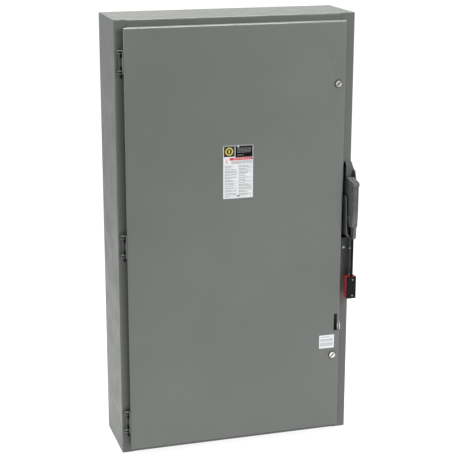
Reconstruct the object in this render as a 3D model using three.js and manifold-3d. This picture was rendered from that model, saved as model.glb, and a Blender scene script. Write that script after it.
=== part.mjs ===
// Heavy-duty three-pole fusible disconnect switch in a wall-mounted sheet-steel enclosure.
// Millimetres. +X is right, +Y is back towards the wall, +Z is up.
// The origin is on the back face, midway between the four wall-bolt holes. The rest pose is OFF, door closed.

import * as THREE from 'three';
import { mergeVertices } from 'three/addons/utils/BufferGeometryUtils.js';
import Module from 'manifold-3d';

const wasm = await Module();
wasm.setup();

// ---------------------------------------------------------------- driving dimensions

const BOX_LEFT = -350;
const BOX_RIGHT = 354;
const BOX_HEIGHT = 1278;
const BOX_DEPTH = 205;
const SHEET = 2;
const FIT_GAP = 0.3;
const BEND_RADIUS = 4;

const LEFT_FLANGE = 35;
const RIGHT_FLANGE = 42;
const END_FLANGE = 38;

const DOOR_LEFT = -328;
const DOOR_RIGHT = 320;
const DOOR_TOP = 619;
const DOOR_BOTTOM = -621;
const DOOR_STAND_OFF = 25;
const DOOR_EDGE_GAP = 1.5;
const DOOR_EDGE_RADIUS = 6;
const HEM_DEPTH = 9;
const HEM_OVERHANG = 11;

const HINGE_X = -338;
const HINGE_FORWARD = 8;
const HINGE_HEIGHTS = { upper: 525, middle: 0, lower: -538 };
const EAR_RADIUS = 6.5;
const EAR_HEIGHT = 2.6;
const EAR_GAP = 4.4;
const HINGE_SPREAD = 28;
const HINGE_PIN_RADIUS = 1.6;

const FASTENER_X = 298;
const FASTENER_HEIGHTS = { upper: 440, lower: -389 };
const FASTENER_RADIUS = 9.5;

const HASP_SLOT = { x0: 301.5, x1: 311.5, z0: -311, z1: -259 };
const MAIN_LABEL = { x0: -47, x1: 42, z0: 123, z1: 279 };
const SMALL_LABEL = { x0: 255.5, x1: 303, z0: -366, z1: -324 };
const LABEL_THICKNESS = 0.5;

const HANDLE_SLOT = { x0: 328, x1: 347, z0: -28, z1: 203, narrowX0: 331, stepZ: 106 };
const HANDLE_PIVOT = { forward: 38, z: 140 };
const ARM = { x0: 335, x1: 360, frontX0: 341.5, frontX1: 357, front: -57.5, rear: -4.2 };
const LEVER_X = 351;
const GRIP = { x0: 334.5, x1: 363.5, z0: -208.5, z1: -141 };

const POLE_X = [-200, -50, 100];
const POLE_NAMES = ['a', 'b', 'c'];
const BASE_FRONT = -38;
const ROTOR = { y: -114, z: 205, radius: 15 };
const BLADE = { length: 150, width: 40, thickness: 6, openAngle: 55 };
const CRANK_LENGTH = 36;
const FUSE = { radius: 34, top: 40, bottom: -180, y: -100 };

// Planes that most parts are measured from.
const FLANGE_Y = -BOX_DEPTH;
const DOOR_Y = FLANGE_Y - DOOR_STAND_OFF;
const HALF_HEIGHT = BOX_HEIGHT / 2;
const INNER_LEFT = BOX_LEFT + SHEET;
const INNER_RIGHT = BOX_RIGHT - SHEET;

// ---------------------------------------------------------------- materials

function finish(color, roughness, metalness) {
  return new THREE.MeshStandardMaterial({ color, roughness, metalness });
}

const paint = finish(0x7b7f7b, 0.5, 0.2);
const casting = finish(0x6e726f, 0.55, 0.3);
const zinc = finish(0xc9c7c0, 0.35, 0.9);
const blackSteel = finish(0x141414, 0.45, 0.4);
const blackVinyl = finish(0x1a1918, 0.6, 0);
const redVinyl = finish(0xb4181c, 0.5, 0);
const labelStock = finish(0xf2f2ee, 0.5, 0);
const moulding = finish(0x2b2a2a, 0.6, 0);
const fibre = finish(0x8d8478, 0.8, 0);
const copper = finish(0xb87a56, 0.35, 0.9);
const lugMetal = finish(0xb9bbbd, 0.4, 0.9);
const fuseTube = finish(0xcfc6a8, 0.7, 0);
const clearShield = finish(0xb9c4c2, 0.25, 0);

// ---------------------------------------------------------------- geometry helpers

function box(x0, x1, y0, y1, z0, z1) {
  const geometry = new THREE.BoxGeometry(x1 - x0, y1 - y0, z1 - z0);
  return geometry.translate((x0 + x1) / 2, (y0 + y1) / 2, (z0 + z1) / 2);
}

function outline(points) {
  return new THREE.Shape(points.map(([u, v]) => new THREE.Vector2(u, v)));
}

function extrude(shape, depth) {
  return new THREE.ExtrudeGeometry(shape, { depth, bevelEnabled: false, curveSegments: 5 });
}

// The outline is drawn in (y, z) and pushed along X.
function alongX(shape, x0, x1) {
  const turn = new THREE.Matrix4().makeBasis(
    new THREE.Vector3(0, 1, 0), new THREE.Vector3(0, 0, 1), new THREE.Vector3(1, 0, 0));
  return extrude(shape, x1 - x0).applyMatrix4(turn).translate(x0, 0, 0);
}

// The outline is drawn in (x, z) and pushed along Y.
function alongY(shape, y0, y1) {
  const turn = new THREE.Matrix4().makeBasis(
    new THREE.Vector3(1, 0, 0), new THREE.Vector3(0, 0, 1), new THREE.Vector3(0, -1, 0));
  return extrude(shape, y1 - y0).applyMatrix4(turn).translate(0, y1, 0);
}

// The outline is drawn in (x, y) and pushed along Z.
function alongZ(shape, z0, z1) {
  return extrude(shape, z1 - z0).translate(0, 0, z0);
}

function rodX(radius, x0, x1, y, z, sides = 20) {
  const geometry = new THREE.CylinderGeometry(radius, radius, x1 - x0, sides);
  return geometry.rotateZ(-Math.PI / 2).translate((x0 + x1) / 2, y, z);
}

function rodY(radius, y0, y1, x, z, sides = 20) {
  const geometry = new THREE.CylinderGeometry(radius, radius, y1 - y0, sides);
  return geometry.translate(x, (y0 + y1) / 2, z);
}

function rodZ(radius, z0, z1, x, y, sides = 20) {
  const geometry = new THREE.CylinderGeometry(radius, radius, z1 - z0, sides);
  return geometry.rotateX(Math.PI / 2).translate(x, y, (z0 + z1) / 2);
}

function toSolid(geometry) {
  const plain = geometry.index ? geometry.toNonIndexed() : geometry.clone();
  plain.deleteAttribute('normal');
  plain.deleteAttribute('uv');
  const merged = mergeVertices(plain, 1e-4);
  return new wasm.Manifold(new wasm.Mesh({
    numProp: 3,
    vertProperties: new Float32Array(merged.attributes.position.array),
    triVerts: new Uint32Array(merged.index.array),
  }));
}

function toGeometry(solid) {
  const mesh = solid.getMesh();
  const geometry = new THREE.BufferGeometry();
  geometry.setAttribute('position', new THREE.BufferAttribute(new Float32Array(mesh.vertProperties), 3));
  geometry.setIndex(new THREE.BufferAttribute(new Uint32Array(mesh.triVerts), 1));
  geometry.computeVertexNormals();
  return geometry;
}

function join(...pieces) {
  return toGeometry(pieces.map(toSolid).reduce((whole, piece) => whole.add(piece)));
}

function cut(geometry, ...tools) {
  return toGeometry(tools.map(toSolid).reduce((whole, tool) => whole.subtract(tool), toSolid(geometry)));
}

function common(first, second) {
  return toGeometry(toSolid(first).intersect(toSolid(second)));
}

const group = new THREE.Group();

function add(name, geometry, material) {
  const mesh = new THREE.Mesh(geometry, material);
  mesh.name = name;
  group.add(mesh);
  return mesh;
}

// ---------------------------------------------------------------- enclosure

// An L-section of sheet: a side wall that turns inwards into the front flange.
// side is -1 for the left wall and +1 for the right one.
function sideSection(side, outer, flange) {
  const inner = outer - side * SHEET;
  const tip = outer - side * flange;
  const shape = new THREE.Shape();
  shape.moveTo(outer, 0);
  shape.lineTo(outer, FLANGE_Y + BEND_RADIUS);
  shape.quadraticCurveTo(outer, FLANGE_Y, outer - side * BEND_RADIUS, FLANGE_Y);
  shape.lineTo(tip, FLANGE_Y);
  shape.lineTo(tip, FLANGE_Y + SHEET);
  shape.lineTo(inner - side * SHEET, FLANGE_Y + SHEET);
  shape.quadraticCurveTo(inner, FLANGE_Y + SHEET, inner, FLANGE_Y + 2 * SHEET);
  shape.lineTo(inner, 0);
  shape.closePath();
  return shape;
}

// The same section for the top and bottom ends, drawn in (y, z). side is +1 for the top.
function endSection(side) {
  const outer = side * HALF_HEIGHT;
  const inner = outer - side * SHEET;
  const tip = outer - side * END_FLANGE;
  const shape = new THREE.Shape();
  shape.moveTo(0, outer);
  shape.lineTo(FLANGE_Y + BEND_RADIUS, outer);
  shape.quadraticCurveTo(FLANGE_Y, outer, FLANGE_Y, outer - side * BEND_RADIUS);
  shape.lineTo(FLANGE_Y, tip);
  shape.lineTo(FLANGE_Y + SHEET, tip);
  shape.lineTo(FLANGE_Y + SHEET, inner - side * SHEET);
  shape.quadraticCurveTo(FLANGE_Y + SHEET, inner, FLANGE_Y + 2 * SHEET, inner);
  shape.lineTo(0, inner);
  shape.closePath();
  return shape;
}

function buildEnclosure() {
  const sideEnds = [-HALF_HEIGHT, HALF_HEIGHT];
  const leftSide = alongZ(sideSection(-1, BOX_LEFT, LEFT_FLANGE), ...sideEnds);
  // The handle's opening is wider below its step, where the guard's plate passes through it.
  const opening = HANDLE_SLOT;
  const handleOpening = alongY(outline([
    [opening.x0, opening.z0], [opening.x1, opening.z0], [opening.x1, opening.z1],
    [opening.narrowX0, opening.z1], [opening.narrowX0, opening.stepZ], [opening.x0, opening.stepZ],
  ]), FLANGE_Y - 5, FLANGE_Y + 5);
  const rightSide = cut(alongZ(sideSection(1, BOX_RIGHT, RIGHT_FLANGE), ...sideEnds), handleOpening);
  add('left_side', leftSide, paint);
  add('right_side', rightSide, paint);

  // The ends sit between the side walls, and their flanges between the side flanges.
  const endSpan = [INNER_LEFT + FIT_GAP, INNER_RIGHT - FIT_GAP];
  const reach = HALF_HEIGHT + 5;
  const leftNotch = box(INNER_LEFT, BOX_LEFT + LEFT_FLANGE + FIT_GAP,
    FLANGE_Y - 5, FLANGE_Y + SHEET + BEND_RADIUS, -reach, reach);
  const rightNotch = box(BOX_RIGHT - RIGHT_FLANGE - FIT_GAP, INNER_RIGHT,
    FLANGE_Y - 5, FLANGE_Y + SHEET + BEND_RADIUS, -reach, reach);
  add('top_end', cut(alongX(endSection(1), ...endSpan), leftNotch, rightNotch), paint);
  add('bottom_end', cut(alongX(endSection(-1), ...endSpan), leftNotch, rightNotch), paint);

  // The back panel is set inside the four walls and has a mounting hole near each corner.
  const inset = SHEET + FIT_GAP;
  const back = box(BOX_LEFT + inset, BOX_RIGHT - inset, -SHEET, 0,
    -HALF_HEIGHT + inset, HALF_HEIGHT - inset);
  const holes = [-1, 1].flatMap((sx) => [-1, 1].map((sz) => rodY(6.5, -10, 10, sx * 290, sz * 580)));
  add('back_panel', cut(back, ...holes), paint);
}

// ---------------------------------------------------------------- door

// A shallow pan outline with its two front corners rounded.
function panOutline(u0, u1, front, rear, radius, swap) {
  const at = (u, depth) => (swap ? [depth, u] : [u, depth]);
  const shape = new THREE.Shape();
  shape.moveTo(...at(u0, rear));
  shape.lineTo(...at(u0, front + radius));
  shape.quadraticCurveTo(...at(u0, front), ...at(u0 + radius, front));
  shape.lineTo(...at(u1 - radius, front));
  shape.quadraticCurveTo(...at(u1, front), ...at(u1, front + radius));
  shape.lineTo(...at(u1, rear));
  shape.closePath();
  return shape;
}

function roundedPan(left, inset, front, rear, radius) {
  const acrossZ = alongZ(panOutline(left, DOOR_RIGHT - inset, front, rear, radius, false),
    DOOR_BOTTOM + inset, DOOR_TOP - inset);
  const acrossX = alongX(panOutline(DOOR_BOTTOM + inset, DOOR_TOP - inset, front, rear, radius, true),
    left, DOOR_RIGHT - inset);
  return common(acrossZ, acrossX);
}

function buildDoor() {
  const rear = FLANGE_Y - DOOR_EDGE_GAP;
  const hemRear = DOOR_Y + HEM_DEPTH;
  const returnLeft = DOOR_LEFT + HEM_OVERHANG;
  const outer = roundedPan(DOOR_LEFT, 0, DOOR_Y, rear, DOOR_EDGE_RADIUS);
  const innerRadius = DOOR_EDGE_RADIUS - SHEET;
  const hemHollow = roundedPan(DOOR_LEFT + SHEET, SHEET, DOOR_Y + SHEET, hemRear - SHEET, innerRadius);
  const inner = roundedPan(returnLeft + SHEET, SHEET, DOOR_Y + SHEET, rear + 10, innerRadius);
  // The hinge edge is hemmed, and the door's left wall stands in from it, which clears the knuckles.
  const undercut = box(DOOR_LEFT - 5, returnLeft, hemRear, rear + 5, DOOR_BOTTOM - 5, DOOR_TOP + 5);
  const haspSlot = box(HASP_SLOT.x0, HASP_SLOT.x1, DOOR_Y - 5, DOOR_Y + 10, HASP_SLOT.z0, HASP_SLOT.z1);
  const fastenerHoles = Object.values(FASTENER_HEIGHTS).map(
    (z) => rodY(FASTENER_RADIUS - 2.2, DOOR_Y - 5, DOOR_Y + 10, FASTENER_X, z, 28));
  add('door', cut(outer, inner, hemHollow, undercut, haspSlot, ...fastenerHoles), paint);

  // Quarter-turn fasteners: a slotted head, a shaft, and a cam that swings behind the flange.
  for (const [place, z] of Object.entries(FASTENER_HEIGHTS)) {
    const head = rodY(FASTENER_RADIUS, DOOR_Y - 3.5, DOOR_Y - FIT_GAP, FASTENER_X, z, 28);
    const shaft = rodY(FASTENER_RADIUS - 3, DOOR_Y - 1, FLANGE_Y + 8, FASTENER_X, z, 20);
    const cam = box(FASTENER_X - 7, FASTENER_X + 6, FLANGE_Y + 4, FLANGE_Y + 7, z - 7, z + 22);
    const driverSlot = box(-8, 8, -2, 2, -1.3, 1.3).rotateY(-Math.PI / 4)
      .translate(FASTENER_X, DOOR_Y - 3.5, z);
    add(`${place}_door_fastener`, cut(join(head, shaft, cam), driverSlot), zinc);
  }

  add('padlock_hasp', padlockHasp(), zinc);

  for (const [name, area] of [['main_label', MAIN_LABEL], ['small_label', SMALL_LABEL]]) {
    const front = DOOR_Y - FIT_GAP - LABEL_THICKNESS;
    add(name, box(area.x0, area.x1, front, DOOR_Y - FIT_GAP, area.z0, area.z1), labelStock);
  }
}

// A half ring for a padlock's shackle, standing on the door's face beside the slot.
function padlockHasp() {
  const ring = new THREE.Shape();
  ring.absarc(0, 0, 17, 0, 2 * Math.PI, false);
  const eye = new THREE.Path();
  eye.absarc(0, 0, 12, 0, 2 * Math.PI, true);
  ring.holes.push(eye);
  const y = DOOR_Y - FIT_GAP;
  const wholeRing = alongX(ring, 313.5, 315.5).translate(0, y, -295);
  const halfSpace = box(300, 330, y - 40, y, -330, -250);
  const foot = box(313.2, 315.5, y - 1.2, y, -312, -278);
  return join(common(wholeRing, halfSpace), foot);
}

// ---------------------------------------------------------------- hinges

function buildHinges() {
  const y = FLANGE_Y - HINGE_FORWARD;
  const stackHeight = 2 * EAR_HEIGHT + EAR_GAP;
  for (const [place, centre] of Object.entries(HINGE_HEIGHTS)) {
    const doorParts = [];
    const bodyParts = [];
    // Each pair of ears has its upper one on the door's edge and its lower one on the body.
    for (const side of [1, -1]) {
      const middle = centre + side * HINGE_SPREAD;
      const top = middle + stackHeight / 2;
      const bottom = middle - stackHeight / 2;
      const upper = [top - EAR_HEIGHT, top];
      const lower = [bottom, bottom + EAR_HEIGHT];
      doorParts.push(rodZ(EAR_RADIUS, ...upper, HINGE_X, y, 24));
      doorParts.push(box(HINGE_X, DOOR_LEFT - FIT_GAP, y - 5, y + 2, ...upper));
      bodyParts.push(rodZ(EAR_RADIUS, ...lower, HINGE_X, y, 24));
      bodyParts.push(box(HINGE_X - EAR_RADIUS, HINGE_X + EAR_RADIUS, y, FLANGE_Y - FIT_GAP, ...lower));
    }
    const reach = HINGE_SPREAD + stackHeight / 2;
    doorParts.push(box(DOOR_LEFT - FIT_GAP - 2.5, DOOR_LEFT - FIT_GAP, y - 13, FLANGE_Y - 3,
      centre - reach, centre + reach));
    bodyParts.push(box(HINGE_X + 1, HINGE_X + EAR_RADIUS, FLANGE_Y - 1.3, FLANGE_Y - FIT_GAP,
      centre - reach, centre + reach));
    const bore = rodZ(HINGE_PIN_RADIUS + FIT_GAP, centre - 60, centre + 60, HINGE_X, y, 16);
    add(`${place}_hinge_door_leaf`, cut(join(...doorParts), bore), paint);
    add(`${place}_hinge_body_leaf`, cut(join(...bodyParts), bore), paint);
    add(`${place}_hinge_pin`, rodZ(HINGE_PIN_RADIUS, centre - reach - 1, centre + reach + 1, HINGE_X, y, 16),
      paint);
  }
}

// ---------------------------------------------------------------- operating handle

// Points given as (distance behind the flange plane, height); forward is negative.
function atFlange(points) {
  return outline(points.map(([behind, z]) => [FLANGE_Y + behind, z]));
}

function buildHandleBase() {
  const shoulder = 178;
  const plateOutline = outline([[335, 60], [364, 60], [364, 176], [353, 205], [335, 205]]);
  const plate = alongY(plateOutline, FLANGE_Y - 3.3, FLANGE_Y - FIT_GAP);
  const lip = alongX(atFlange([
    [-2, 128], [-3, 140], [-4.6, 150], [-8.2, 158.5], [-13, 165.5], [-13, 194], [-9, 202], [-2, 204],
  ]), 335, 337.3);
  const cheek = alongX(atFlange([
    [12, shoulder], [-13, shoulder], [-18, 168], [-24, 152],
    [-44, 148], [-46, 136], [-40, 130], [-12, 118], [12, 118],
  ]), 360.7, 363);
  const wrap = box(BOX_RIGHT + FIT_GAP, BOX_RIGHT + 3, FLANGE_Y - 1, FLANGE_Y + 14, 118, shoulder);
  const bridge = box(BOX_RIGHT + 2, 362, FLANGE_Y + 9, FLANGE_Y + 12, 118, shoulder);
  const pinHole = rodX(5.5, 358.5, 370, FLANGE_Y - HANDLE_PIVOT.forward, HANDLE_PIVOT.z);
  add('handle_base', cut(join(plate, lip, cheek, wrap, bridge), pinHole), casting);
}

function buildHandleGuard() {
  // A ribbon of sheet seen from the front: left plate, sloping web, right padlock plate.
  const ribbon = outline([
    [329.5, 104], [332, 104], [332, -11], [350, -26], [350, -152], [347.5, -152], [347.5, -27.2], [329.5, -12.2],
  ]);
  // Its front edge seen from the side, and its rear edge inside the enclosure.
  const reach = atFlange([
    [24, 104], [-24, 104], [-29, 98], [-35, 17], [-41, -10], [-28, -22], [-28, -138], [-15, -138], [-15, -152],
    [-FIT_GAP, -152], [-FIT_GAP, -36], [24, -36],
  ]);
  const sheet = common(alongY(ribbon, FLANGE_Y - 50, FLANGE_Y + 30), alongX(reach, 325, 352));
  const clearCorner = box(346.5, 352, FLANGE_Y - FIT_GAP, FLANGE_Y + 40, -60, 110);
  const padlockHole = rodX(3.8, 340, 360, FLANGE_Y - 22.5, -58, 16);
  const foot = alongY(outline([
    [329.5, -29.5], [329.5, -76], [344, -148], [348.5, -148], [348.5, -29.5],
  ]), FLANGE_Y - 1.8, FLANGE_Y - FIT_GAP);
  const screwHole = rodY(2.6, FLANGE_Y - 10, FLANGE_Y + 2, 336, -58, 12);
  add('handle_guard', cut(join(cut(sheet, clearCorner, padlockHole), foot), screwHole), casting);

  const dome = rodY(4.4, FLANGE_Y - 3.9, FLANGE_Y - 2.1, 336, -58, 16);
  const shank = rodY(2.3, FLANGE_Y - 3, FLANGE_Y - FIT_GAP, 336, -58, 12);
  add('guard_screw', join(dome, shank), zinc);
}

function buildHandle() {
  // The arm's outline from the side: a sloping top, a flat ribbed front, and a tapered foot.
  // Above the pivot it stays inside the circle that clears the base plate as it turns.
  const side = atFlange([
    [-12, 159.2], [-54, 147], [-57, 143], [ARM.front, 71], [-54, 22], [-51, 14],
    [-31.6, 14], [-21, 61], [-12.8, 90], [ARM.rear, 106], [ARM.rear, 140], [-5.6, 150],
  ]);
  // Its width tapers towards the front.
  const draft = outline([
    [ARM.x0, FLANGE_Y + ARM.rear], [ARM.frontX0, FLANGE_Y + ARM.front],
    [ARM.frontX1, FLANGE_Y + ARM.front], [ARM.x1, FLANGE_Y + ARM.rear],
  ]);
  const body = common(alongX(side, ARM.x0, ARM.x1), alongZ(draft, 0, 170));
  const grooves = [[341.5, 346], [349, 353.5]].map(
    ([x0, x1]) => box(x0, x1, FLANGE_Y - 60, FLANGE_Y - 55.8, 26, 140));
  const nose = alongX(atFlange([
    [-30, 16], [-54, 16], [-55, -12], [-50, -22], [-33, -22], [-30, -16],
  ]), 345.5, 353.8);
  const pinBore = rodX(4.9, 341, 370, FLANGE_Y - HANDLE_PIVOT.forward, HANDLE_PIVOT.z);
  const barPocket = box(348.2, 353.9, FLANGE_Y - 38, FLANGE_Y - 28, -40, 0);
  add('handle_arm', cut(join(body, nose), ...grooves, pinBore, barPocket), casting);

  add('handle_pivot_pin', join(
    rodX(4.6, 341.3, 364, FLANGE_Y - HANDLE_PIVOT.forward, HANDLE_PIVOT.z),
    rodX(7, 363.3, 364.6, FLANGE_Y - HANDLE_PIVOT.forward, HANDLE_PIVOT.z)), casting);

  // The lever is a flat bar that widens into a bent plate behind the arm's foot.
  const leverPart = (front, rear, z0, z1) => box(
    LEVER_X - 2.5, LEVER_X + 2.5, FLANGE_Y + front, FLANGE_Y + rear, z0, z1);
  const bar = join(leverPart(-37.7, -31, -203, -0.4), leverPart(-32, -12, -20, -0.4),
    leverPart(-29.7, -12, -1, 13.7),
    alongY(outline([[338.5, 30], [338.5, -13], [349.5, -22], [349.5, 30]]), FLANGE_Y - 27, FLANGE_Y - 22),
    box(350.4, LEVER_X + 2.5, FLANGE_Y - 33, FLANGE_Y - 12, -38, -10),
    box(350.4, LEVER_X + 2.5, FLANGE_Y - 33, FLANGE_Y - 17.5, -140.7, -126));
  const screwHeights = { upper: -150, lower: -199 };
  const screwHoles = Object.values(screwHeights).map(
    (z) => rodY(1.9, FLANGE_Y - 50, FLANGE_Y - 20, LEVER_X, z, 12));
  add('lever_bar', cut(bar, ...screwHoles), blackSteel);

  const gripSection = new THREE.Shape();
  const rear = FLANGE_Y - 17;
  const parting = FLANGE_Y - 38;
  gripSection.moveTo(GRIP.x0, parting);
  gripSection.lineTo(GRIP.x1, parting);
  gripSection.lineTo(GRIP.x1, rear - 5);
  gripSection.quadraticCurveTo(GRIP.x1, rear, GRIP.x1 - 5, rear);
  gripSection.lineTo(GRIP.x0 + 5, rear);
  gripSection.quadraticCurveTo(GRIP.x0, rear, GRIP.x0, rear - 5);
  gripSection.closePath();
  const channel = box(LEVER_X - 2.8, LEVER_X + 2.8, parting - 1, FLANGE_Y - 30.7, GRIP.z0 + 5, GRIP.z1 + 1);
  const backScrewHoles = Object.values(screwHeights).map(
    (z) => rodY(1.9, FLANGE_Y - 50, FLANGE_Y - 22, LEVER_X, z, 12));
  add('grip_back', cut(alongZ(gripSection, GRIP.z0, GRIP.z1), channel, ...backScrewHoles), redVinyl);

  const cover = new THREE.Shape();
  const coverRear = parting - FIT_GAP;
  const coverFront = FLANGE_Y - 43;
  cover.moveTo(GRIP.x0, coverRear);
  cover.lineTo(GRIP.x0, coverFront + 3);
  cover.quadraticCurveTo(GRIP.x0, coverFront, GRIP.x0 + 3, coverFront);
  cover.lineTo(GRIP.x1 - 3, coverFront);
  cover.quadraticCurveTo(GRIP.x1, coverFront, GRIP.x1, coverFront + 3);
  cover.lineTo(GRIP.x1, coverRear);
  cover.closePath();
  add('grip_front', cut(alongZ(cover, GRIP.z0, GRIP.z1), ...screwHoles), blackVinyl);

  for (const [place, z] of Object.entries(screwHeights)) {
    const head = rodY(2.6, coverFront - 1.3, coverFront - FIT_GAP, LEVER_X, z, 16);
    const shank = rodY(1.6, coverFront - 1, FLANGE_Y - 23, LEVER_X, z, 12);
    add(`grip_screw_${place}`, join(head, shank), zinc);
  }
}

// ---------------------------------------------------------------- switch and fuses inside

function buildPan() {
  const pan = box(-300, 300, -20, -18, -330, 500);
  const feet = [-1, 1].flatMap((sx) => [-310, 480].map(
    (z) => box(sx * 280 - 12, sx * 280 + 12, -19, -SHEET - FIT_GAP, z - 12, z + 12)));
  add('mounting_pan', join(pan, ...feet), zinc);
}

// A two-barrel lug block with its wire holes running up and down.
function lugBlock(x, z) {
  const rear = BASE_FRONT - 6;
  const wireHoles = [-12, 12].map((dx) => rodZ(9, z - 40, z + 40, x + dx, rear - 22, 16));
  return cut(box(x - 26, x + 26, rear - 44, rear, z - 26, z + 26), ...wireHoles);
}

// A flat bus strap lying on the moulded base.
function strap(x, z0, z1) {
  return box(x - 20, x + 20, BASE_FRONT - 6, BASE_FRONT - FIT_GAP, z0, z1);
}

// Two spring leaves joined past the blade's tip. side is +1 above the crossbar, -1 below it.
function jaw(x, side) {
  const gap = BLADE.thickness / 2 + 0.6;
  const thick = 4;
  const near = ROTOR.z + side * 52;
  const web = ROTOR.z + side * 80;
  const far = ROTOR.z + side * 86;
  const front = ROTOR.y - 18;
  const leaf = (x0) => box(x0, x0 + thick, front, BASE_FRONT - 1, Math.min(near, far), Math.max(near, far));
  return join(leaf(x - gap - thick), leaf(x + gap), box(x - gap - thick, x + gap + thick, front,
    BASE_FRONT - 1, Math.min(web, far), Math.max(web, far)));
}

// The two spring leaves that grip a fuse's knife blade, with the strap's foot behind them.
function clipLeaves(x, z) {
  return [-8, 4].map((dx) => box(x + dx, x + dx + 4, FUSE.y - 18, BASE_FRONT - 1, z - 14, z + 14));
}

function buildPole(x, name) {
  const lineLugZ = 400;
  const upperClipZ = FUSE.top + 31;
  const lowerClipZ = FUSE.bottom - 31;
  const loadLugZ = lowerClipZ - 50;
  const jawReach = 86;

  add(`line_terminal_${name}`, join(jaw(x, 1), strap(x, ROTOR.z + 78, lineLugZ + 26),
    lugBlock(x, lineLugZ)), copper);
  add(`upper_fuse_clip_${name}`, join(jaw(x, -1), strap(x, upperClipZ - 14, ROTOR.z - jawReach + 6),
    ...clipLeaves(x, upperClipZ)), copper);
  add(`load_terminal_${name}`, join(...clipLeaves(x, lowerClipZ),
    strap(x, loadLugZ - 26, lowerClipZ + 14), lugBlock(x, loadLugZ)), copper);

  // Cartridge fuse with a knife blade at each end.
  const tube = rodZ(FUSE.radius, FUSE.bottom, FUSE.top, x, FUSE.y, 24);
  const knife = box(x - 3.3, x + 3.3, FUSE.y - 16, FUSE.y + 16, FUSE.bottom - 44, FUSE.top + 44);
  add(`fuse_${name}`, join(tube, knife), fuseTube);

  // Arc chute: two side plates and splitter plates over the path of the blade's tip.
  const chuteFloor = ROTOR.z + 40;
  const chuteRoof = ROTOR.z + 96;
  const chuteSides = [-26, 22].map((dx) => box(x + dx, x + dx + 4, -170, -60, chuteFloor, chuteRoof));
  const roof = box(x - 26, x + 26, -170, -60, chuteRoof - 4, chuteRoof);
  const splitters = [-162, -154, -146, -138].map(
    (y) => box(x - 24, x + 24, y - 1, y + 1, chuteRoof - 13, chuteRoof - 2));
  add(`arc_chute_${name}`, join(...chuteSides, roof, ...splitters), fibre);
}

function buildSwitch() {
  add('line_base', box(-290, 190, BASE_FRONT, -20.3, 245, 440), moulding);
  add('fuse_base', box(-290, 190, BASE_FRONT, -20.3, -305, 160), moulding);
  POLE_X.forEach((x, i) => buildPole(x, POLE_NAMES[i]));

  // Moulded crossbar with a slot for each blade. At rest the blades stand open.
  const openTurn = THREE.MathUtils.degToRad(BLADE.openAngle);
  const openPlate = (x, length, width, thickness) => {
    const plate = new THREE.BoxGeometry(thickness, width, length);
    return plate.rotateX(openTurn).translate(x, ROTOR.y, ROTOR.z);
  };
  const bar = rodX(ROTOR.radius, -270, 236, ROTOR.y, ROTOR.z, 20);
  const collars = POLE_X.map((x) => rodX(30, x - 14, x + 14, ROTOR.y, ROTOR.z, 24));
  const slots = POLE_X.map((x) => openPlate(
    x, 100, BLADE.width + 2 * FIT_GAP, BLADE.thickness + 2 * FIT_GAP));
  add('crossbar', cut(join(bar, ...collars), ...slots), moulding);
  POLE_X.forEach((x, i) => add(
    `blade_${POLE_NAMES[i]}`, openPlate(x, BLADE.length, BLADE.width, BLADE.thickness), copper));
}

// A coil round the crossbar's end that snaps the blades over.
function torsionSpring() {
  const turns = 5;
  const coilRadius = 19;
  class Helix extends THREE.Curve {
    getPoint(t, target = new THREE.Vector3()) {
      const angle = 2 * Math.PI * turns * t;
      return target.set(218 + 16 * t, ROTOR.y + coilRadius * Math.cos(angle),
        ROTOR.z + coilRadius * Math.sin(angle));
    }
  }
  const wire = new THREE.Shape();
  wire.absarc(0, 0, 1.3, 0, 2 * Math.PI, false);
  return new THREE.ExtrudeGeometry(wire, { steps: turns * 16, curveSegments: 3, extrudePath: new Helix() });
}

function buildMechanism() {
  // Two bearing plates on the pan hold the crossbar.
  const bearing = (x) => rodX(ROTOR.radius + FIT_GAP, x - 10, x + 10, ROTOR.y, ROTOR.z, 24);
  const cheek = (x) => box(x - 2, x + 2, -160, -20.3, 162, 243);
  add('left_bearing_plate', cut(cheek(-260), bearing(-260)), zinc);
  add('mechanism_frame', cut(join(cheek(214), box(212, 286, -24, -20.3, 162, 243)), bearing(214)), zinc);
  add('torsion_spring', torsionSpring(), zinc);

  // The crank on the crossbar's end points forwards and down when the switch is off.
  const crankAngle = THREE.MathUtils.degToRad(BLADE.openAngle / 2);
  const pinY = ROTOR.y - CRANK_LENGTH * Math.cos(crankAngle);
  const pinZ = ROTOR.z - CRANK_LENGTH * Math.sin(crankAngle);
  const crankBar = box(236.3, 244, -CRANK_LENGTH - 8, 14, -9, 9).rotateX(crankAngle)
    .translate(0, ROTOR.y, ROTOR.z);
  add('drive_crank', join(crankBar, rodX(4, 243, 252, pinY, pinZ, 16)), zinc);

  // The link turns on the crank pin and carries its finger out to the handle opening.
  const linkBar = box(246, 338, pinY - 9, pinY - 5.5, pinZ - 9, pinZ + 9);
  const linkEye = box(246, 251, pinY - 9, pinY + 8, pinZ - 9, pinZ + 9);
  const finger = box(333, 338, FLANGE_Y + 12, pinY - 5.5, pinZ - 9, pinZ + 9);
  add('drive_link', cut(join(linkBar, linkEye, finger), rodX(4.3, 240, 260, pinY, pinZ, 16)), blackSteel);

  add('ground_lug', cut(box(215, 250, -50, -20.3, -300, -260),
    rodZ(7, -320, -240, 232, -35, 16)), lugMetal);
  add('line_shield', box(-290, 190, -176, -174, 305, 450), clearShield);
  add('interlock_hook', join(box(270, 290, DOOR_Y + 2.3, DOOR_Y + 4.3, 20, 80),
    box(286, 288, DOOR_Y + 4, FLANGE_Y + 40, 30, 70)), zinc);
}

buildEnclosure();
buildDoor();
buildHinges();
buildHandleBase();
buildHandleGuard();
buildHandle();
buildPan();
buildSwitch();
buildMechanism();

export default group;
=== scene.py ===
"""Fusible disconnect switch in a wall-mounted sheet-steel enclosure: looks, light and camera."""

import math
import random

import bmesh
import bpy
from mathutils import Matrix, Vector


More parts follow.
